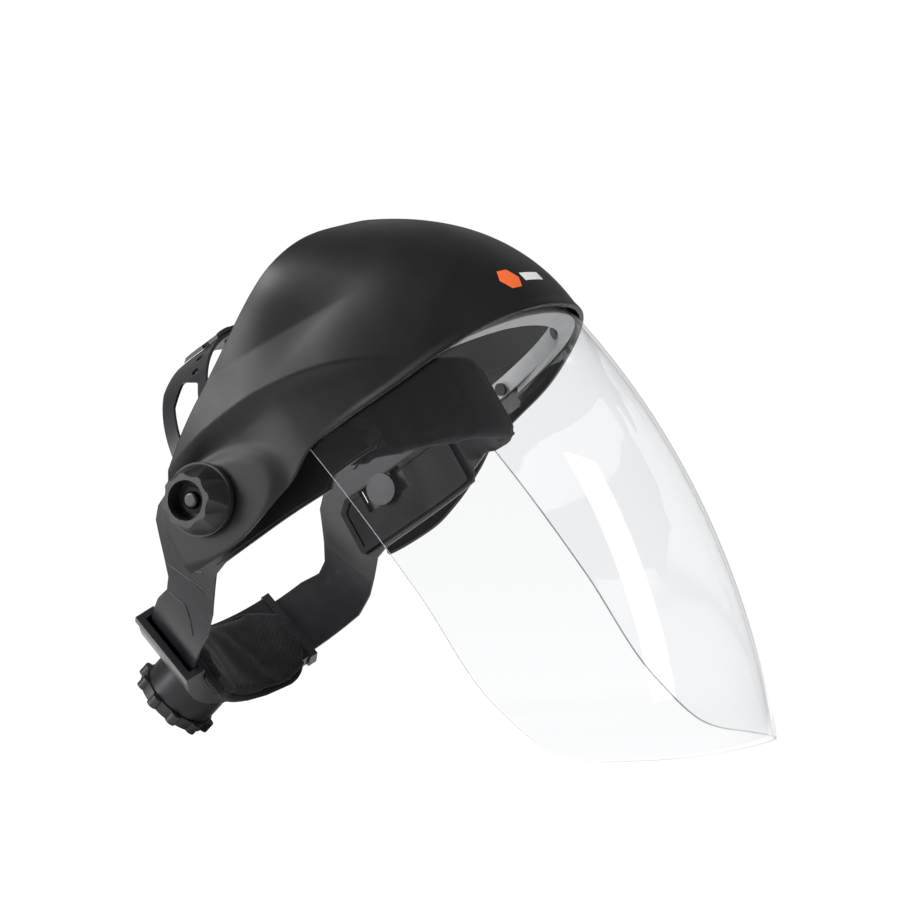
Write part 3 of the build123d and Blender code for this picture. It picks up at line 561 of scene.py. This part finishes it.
def visor_point(turn, z):
    """Point of the visor at a turn from the front and a height, in the wearing frame."""
    across = np.abs(np.sin(turn)) ** (2 / BROW_POWER) * np.sign(turn)
    return BROW_CENTRE + visor_reach(z) * np.cos(turn) ** (2 / BROW_POWER), VISOR_HALF_WIDTH * across, z


def edge_line():
    """The visor's rear and lower edge in the side view, as a dense smooth line: heights and X."""
    knots = np.array(VISOR_EDGE, float)
    steps = np.concatenate([[0], np.cumsum(np.hypot(*np.diff(knots, axis=0).T))])
    slopes = np.gradient(knots, steps, axis=0)
    dense = []
    for i in range(len(knots) - 1):
        gap = steps[i + 1] - steps[i]
        for t in np.linspace(0, 1, 40, endpoint=False):
            dense.append(hermite(t, gap, knots[i], slopes[i], knots[i + 1], slopes[i + 1]))
    dense = np.array(dense)
    return dense[::-1, 1], dense[::-1, 0]


edge_height, edge_x = edge_line()


def edge_turn(z):
    """The turn at which the visor meets its edge at a height."""
    share = np.clip((np.interp(z, edge_height, edge_x) - BROW_CENTRE) / visor_reach(z), 0, 1)
    return np.arccos(share ** (BROW_POWER / 2))


def lower_edge(turn):
    """Height of the lower edge at a turn."""
    low, high = VISOR_BELOW, VISOR_CORNER
    for _ in range(40):
        middle = (low + high) / 2
        if edge_turn(middle) > turn:
            high = middle
        else:
            low = middle
    return low


def make_visor(rows=90, half=60):
    """The screen: a sheet with its own edge colour, riding with the crown."""
    corner_turn = edge_turn(VISOR_CORNER)
    spread = [s / half for s in range(-half, half + 1)]
    foot = [lower_edge(abs(s) * corner_turn) for s in spread]
    points = []
    for row in range(rows):
        down = row / (rows - 1)
        side_turn = edge_turn(VISOR_SIDE_TOP + (VISOR_CORNER - VISOR_SIDE_TOP) * down)
        for s, bottom in zip(spread, foot):
            top = VISOR_TOP + (VISOR_SIDE_TOP - VISOR_TOP) * abs(s) ** 8
            points.append(head(*visor_point(s * side_turn, top + (bottom - top) * down)))
    faces = grid_faces(rows, len(spread))
    visor = mesh_piece("clear_visor", points, faces, "clear_screen", "crown", ("visor",))
    visor.data.materials.append(SCREEN_EDGE)
    middle_face = visor.data.polygons[(rows // 2) * (len(spread) - 1) + half]
    if middle_face.normal.dot(FORWARD) < 0:
        visor.data.flip_normals()
    thicken(visor, 0.0015, 0.0003, rim_material=True)


make_visor()

# ---------------------------------------------------------------- soft goods: blown up a little as cloth
FRONT_CENTRE, FRONT_REACH = 30.0, 87.5  # the headband's half ellipse in front, and the one behind
REAR_CENTRE, REAR_REACH = -12.0, 77.0
BAND_HALF_WIDTH = 78.8
VOXEL = 0.004
CLOTH_STEPS = 20
FREE_INSIDE = -7.5  # cloth is pinned where it is nearer than this to the band's face, in mm
SWEAT_SWELL, PAD_SWELL = 0.0012, 0.0022


def bake(piece):
    """Turns a piece's modifiers into plain mesh."""
    bpy.context.view_layer.update()
    graph = bpy.context.evaluated_depsgraph_get()
    final = bpy.data.meshes.new_from_object(piece.evaluated_get(graph))
    piece.modifiers.clear()
    piece.data = final


def inflate(piece, reach, held):
    """Remeshes a soft piece, blows it up as cloth by at most reach, its held side pinned, and smooths it."""
    remesh = piece.modifiers.new("remesh", "REMESH")
    remesh.mode = "VOXEL"
    remesh.voxel_size = VOXEL
    bake(piece)
    rest = [vertex.co.copy() for vertex in piece.data.vertices]
    pinned = piece.vertex_groups.new(name="held")
    pinned.add([i for i, spot in enumerate(rest) if held(spot)], 1.0, "ADD")
    cloth = piece.modifiers.new("cloth", "CLOTH")
    cloth.settings.use_pressure = True
    cloth.settings.uniform_pressure_force = 4
    cloth.settings.effector_weights.gravity = 0
    cloth.settings.vertex_group_mass = "held"
    cloth.point_cache.frame_end = CLOTH_STEPS
    for step in range(1, CLOTH_STEPS + 1):
        bpy.context.scene.frame_set(step)
    bake(piece)
    for vertex, spot in zip(piece.data.vertices, rest):
        move = vertex.co - spot
        if move.length > reach:
            vertex.co = spot + move * (reach / move.length)
    smoother = piece.modifiers.new("smooth", "SUBSURF")
    smoother.levels = smoother.render_levels = 1
    bake(piece)
    piece.data.shade_smooth()


def front_offset(spot):
    """How far a wearing-frame point is outside the band's face, in mm, in front of the pivots."""
    reach = hypot((spot.x - FRONT_CENTRE) / FRONT_REACH, spot.y / BAND_HALF_WIDTH)
    return (reach - 1) * FRONT_REACH


def rear_offset(spot):
    """The same for a band-frame point behind the pivots."""
    reach = hypot((spot.x - REAR_CENTRE) / REAR_REACH, spot.y / BAND_HALF_WIDTH)
    return (reach - 1) * REAR_REACH


SWEAT_TOP = ([60, 70, 100, 122], [2, 3, 6, 9.5])  # X, and the height of the sweatband's edge there
SWEAT_FOOT = ([60, 70, 82, 95, 111, 117, 121], [-26, -26, -27.5, -31, -35, -38.5, -46])
SWEAT_END = radians(61)
SWEAT_MIDDLE = 82.0  # reach of the sweatband's middle layer from FRONT_CENTRE
SWEAT_OUTSIDE, SWEAT_INSIDE = 3.0, 9.5  # how far it stands out of the band's face, and in
SWEAT_TUCK = 6.6  # how much less it stands out at its ends, where it goes behind the side plates
SWEAT_FLATNESS = (0.35, 0.28)  # powers that make its section nearly a rectangle, across and up


def sweatband_points(turns, ring_count):
    """Closed rings of the sweatband's padded outline, one at each turn from the front."""
    points = []
    for turn in turns:
        x = FRONT_CENTRE + SWEAT_MIDDLE * cos(turn)
        top, foot = np.interp(x, *SWEAT_TOP), np.interp(x, *SWEAT_FOOT)
        outside = SWEAT_OUTSIDE - SWEAT_TUCK * smooth(abs(turn), radians(43.5), radians(46.5))
        end = 0.86 + 0.14 * (1 - smooth(abs(turn), radians(57), SWEAT_END))
        for k in range(ring_count):
            angle = tau * k / ring_count
            across = copysign(abs(cos(angle)) ** SWEAT_FLATNESS[0], cos(angle))
            up = copysign(abs(sin(angle)) ** SWEAT_FLATNESS[1], sin(angle)) * end
            offset = (outside - SWEAT_INSIDE) / 2 + across * (outside + SWEAT_INSIDE) / 2
            points.append(head(
                FRONT_CENTRE + (FRONT_REACH + offset) * cos(turn), (BAND_HALF_WIDTH + offset) * sin(turn),
                (top + foot) / 2 + up * (top - foot) / 2,
            ))
    return points


EMBOSS_DEPTH, EMBOSS_WIDTH = 0.9, 1.3
EMBOSS_TURN, EMBOSS_MM_PER_DEGREE = 28.0, 1.45  # where each of the two outlines has its middle
EMBOSS_HALF_LENGTH, EMBOSS_ROUND = 22.0, 4.0
EMBOSS_TOP, EMBOSS_LIFT = 3.0, 5.0  # the outline's top, and how far its foot is above the sweatband's


def emboss(spot):
    """Depth of the sweatband cover's embossed outlines at a wearing-frame point, in mm."""
    if front_offset(spot) < 0.5:
        return 0.0
    turn = degrees(atan2(spot.y / BAND_HALF_WIDTH, (spot.x - FRONT_CENTRE) / FRONT_REACH))
    along = abs(abs(turn) - EMBOSS_TURN) * EMBOSS_MM_PER_DEGREE - EMBOSS_HALF_LENGTH + EMBOSS_ROUND
    foot = np.interp(spot.x, *SWEAT_FOOT) + EMBOSS_LIFT
    up = abs(spot.z - (EMBOSS_TOP + foot) / 2) - (EMBOSS_TOP - foot) / 2 + EMBOSS_ROUND
    out = hypot(max(along, 0), max(up, 0)) - EMBOSS_ROUND
    return EMBOSS_DEPTH * exp(-(out / EMBOSS_WIDTH) ** 2)


def make_sweatband(ring_total=61, ring_count=28):
    """The sweatband's cover: a padded tube round the forehead with closed ends and embossed outlines."""
    middle = (ring_total - 1) / 2
    turns = [SWEAT_END * (k / middle - 1) for k in range(ring_total)]
    last = (ring_total - 1) * ring_count
    faces = grid_faces(ring_total, ring_count, closed=True)
    faces += [tuple(range(ring_count)), tuple(range(last + ring_count - 1, last - 1, -1))]
    points = sweatband_points(turns, ring_count)
    sweatband = mesh_piece("sweatband_cover", points, faces, "sweat_fabric", None, ("sweatband",))
    inflate(sweatband, SWEAT_SWELL, lambda spot: FREE_INSIDE < front_offset(to_head(spot)) < 0.5)
    for vertex in sweatband.data.vertices:
        spot = to_head(vertex.co)
        inward = Vector((spot.x - FRONT_CENTRE, spot.y, 0)).normalized() * -emboss(spot)
        vertex.co = head(*(spot + inward))
    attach(sweatband, "headgear")


def copy_of_node(name, node):
    """A new object with a copy of a CAD node's mesh, in place."""
    piece = bpy.data.objects.new(name, node.data.copy())
    piece.data.transform(node.matrix_world)
    bpy.context.scene.collection.objects.link(piece)
    return piece


def make_nape_pad():
    """The nape pad's cover, blown up from the CAD pad and held at its back."""
    pad = copy_of_node("nape_pad_cover", frame["nodes"]["nape_pad"])
    inflate(pad, PAD_SWELL, lambda spot: rear_offset(to_band(spot)) > FREE_INSIDE)
    pad.data.materials.clear()
    pad.data.materials.append(MATERIALS["pad_fabric"])
    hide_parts("nape_pad")
    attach(pad, "nape")


make_sweatband()
make_nape_pad()


def tube(name, path, radius, slot, body, closed=False, sides=10):
    """A round bead along a path of row-frame points, radius in mm."""
    points, count = [], len(path)
    for i, centre in enumerate(path):
        ahead = path[(i + 1) % count if closed else min(i + 1, count - 1)]
        behind = path[i - 1 if closed else max(i - 1, 0)]
        along = (ahead - behind).normalized()
        first = along.cross(UPWARD if abs(along.dot(UPWARD)) < 0.9 else FORWARD).normalized()
        second = along.cross(first)
        for k in range(sides):
            angle = tau * k / sides
            points.append(centre + (first * cos(angle) + second * sin(angle)) * radius / 1000)
    if closed:
        points += points[:sides]
    return mesh_piece(name, points, grid_faces(len(points) // sides, sides, closed=True), slot, body)


PAD_LOW, PAD_HIGH, PAD_HALF, PAD_CORNER = -57.0, -14.5, 45.0, 13.0
PIPING_INSET = 7.0  # how far the piping is inside the band's face


def pad_outline(count=120):
    """Places round the nape pad's rounded outline, as seen from the front."""
    half_height, middle = (PAD_HIGH - PAD_LOW) / 2, (PAD_LOW + PAD_HIGH) / 2
    for k in range(count):
        angle = tau * k / count
        y = copysign(PAD_HALF - PAD_CORNER, cos(angle)) + PAD_CORNER * cos(angle)
        yield y, middle + copysign(half_height - PAD_CORNER, sin(angle)) + PAD_CORNER * sin(angle)


def on_pad(y, z):
    """The piping's point behind a place of the outline."""
    reach, half_width = REAR_REACH - PIPING_INSET, BAND_HALF_WIDTH - PIPING_INSET
    return band(REAR_CENTRE - reach * sqrt(1 - (y / half_width) ** 2), y, z)


outline = list(pad_outline())
piping = [
    on_pad(y + (next_y - y) * t / 4, z + (next_z - z) * t / 4)
    for (y, z), (next_y, next_z) in zip(outline, outline[1:] + outline[:1]) for t in range(4)
]
tube("nape_pad_piping", piping, 1.5, "sweat_fabric", "nape", closed=True)

# ---------------------------------------------------------------- rear arms: cut into strips
NAPE_Z = -30.0
ARM_STRIPS = 24
RACK_REAR, PINION_ROOM = -70.0, 6.9  # behind this place the racks stay this far from the knob's axis


def arm_bend(side):
    """Where an arm starts to leave the headgear, and where it goes all the way with the nape unit."""
    return head(-14, side * 79, -38), band(-46, side * 60, NAPE_Z)


def make_arm(side, word):
    """A rear arm, copied from the CAD and cut across into strips, with its racks held clear of the knob's axis."""
    node = frame["nodes"][f"rear_arm_{word}"]
    arm = copy_of_node(f"bending_arm_{word}", node)
    start, end = arm_bend(side)
    strips = bmesh.new()
    strips.from_mesh(arm.data)
    for k in range(1, ARM_STRIPS):
        bmesh.ops.bisect_plane(
            strips, geom=strips.verts[:] + strips.edges[:] + strips.faces[:],
            plane_co=start + (end - start) * k / ARM_STRIPS, plane_no=end - start)
    for vertex in strips.verts:
        spot = to_band(vertex.co)
        from_axis = hypot(spot.y, spot.z - NAPE_Z)
        if spot.x < RACK_REAR and from_axis < PINION_ROOM:
            grow = PINION_ROOM / from_axis
            vertex.co = band(spot.x, spot.y * grow, NAPE_Z + (spot.z - NAPE_Z) * grow)
    strips.to_mesh(arm.data)
    strips.free()
    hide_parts(node.name)
    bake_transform(arm)
    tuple(start)
    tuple(end)


for side, word in SIDES:
    make_arm(side, word)

# ---------------------------------------------------------------- raised lines on the side plates and arms
PLATE_LINES = [
    [(-7.5, 10), (-11, 6), (-19, -9), (-20.3, -24), (-13, -30)],
    [(-1, 16.5), (30, 16.5), (36, 4.5), (61, 2.2)],
    [(-4, -30.3), (61, -29.6), (66, -24.6), (86, -21.6)],
]
ARM_LINES = [
    [(-28.3, -16), (-24, -24), (-16.8, -36.6)],
    [(-27.2, -18.4), (-23, -26), (-18, -38.6)],
    [(-36.5, -27), (-34.6, -31), (-31.6, -37), (-33.4, -43), (-38, -50)],
]


def on_wall(side, line):
    """Points of the side mouldings' outer face, on one side, behind places of the side view."""
    places = [
        (x + (next_x - x) * t, z + (next_z - z) * t)
        for (x, z), (next_x, next_z) in zip(line, line[1:]) for t in (0, 0.25, 0.5, 0.75)
    ]
    path = []
    for x, z in places + line[-1:]:
        along = x * cos(BAND_LEAN) + z * sin(BAND_LEAN)
        share = max((x - FRONT_CENTRE) / FRONT_REACH, (REAR_CENTRE - along) / REAR_REACH, 0)
        path.append(head(x, side * BAND_HALF_WIDTH * sqrt(1 - share ** 2), z))
    return path


for side, word in SIDES:
    for number, line in enumerate(PLATE_LINES):
        tube(f"plate_line_{word}_{number}", on_wall(side, line), 0.45, "black_plastic", "headgear", sides=8)
    for number, line in enumerate(ARM_LINES):
        bead = tube(f"arm_line_{word}_{number}", on_wall(side, line), 0.4, "black_plastic", None, sides=8)
        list(arm_bend(side))
        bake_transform(bead)

# ---------------------------------------------------------------- a plain printed mark on the brow
skin_tree = BVHTree.FromPolygons(skin_points, skin_faces)
MARK_Y, MARK_Z, MARK_RADIUS, MARK_RINGS = -26.0, 15.0, 6.25, 5
BAR_Y, BAR_Z, BAR_LENGTH, BAR_HEIGHT = -17.0, 12.6, 16, 4.8


def on_brow(y, z):
    """The point 0.1 mm off the brow's skin straight behind a place of the front view."""
    spot, normal, _, _ = skin_tree.ray_cast(head(260, y, z), -FORWARD)
    return spot + (normal if normal.dot(FORWARD) > 0 else -normal) * 0.0001


def hexagon_points(around):
    """Rings of points that fill the plain hexagon, from its middle outwards."""
    for step in range(1, MARK_RINGS + 1):
        for k in range(around):
            angle = tau * k / around
            size = MARK_RADIUS * step / MARK_RINGS * cos(pi / 6) / cos(angle % (pi / 3) - pi / 6)
            yield on_brow(MARK_Y + size * cos(angle), MARK_Z + size * sin(angle))


faces = grid_faces(MARK_RINGS, 36, closed=True) + [tuple(range(36))]
mark = mesh_piece("brow_mark", hexagon_points(36), faces, "crown", "crown", shade=False)
mark.data.materials[0] = printed("orange_ink", (0.80, 0.13, 0.02))
bar = [on_brow(BAR_Y + c, BAR_Z + BAR_HEIGHT * r / 4) for r in range(5) for c in range(BAR_LENGTH + 1)]
line = mesh_piece("brow_line", bar, grid_faces(5, BAR_LENGTH + 1), "crown", "crown")
line.data.materials[0] = printed("white_ink", (0.75, 0.75, 0.75))
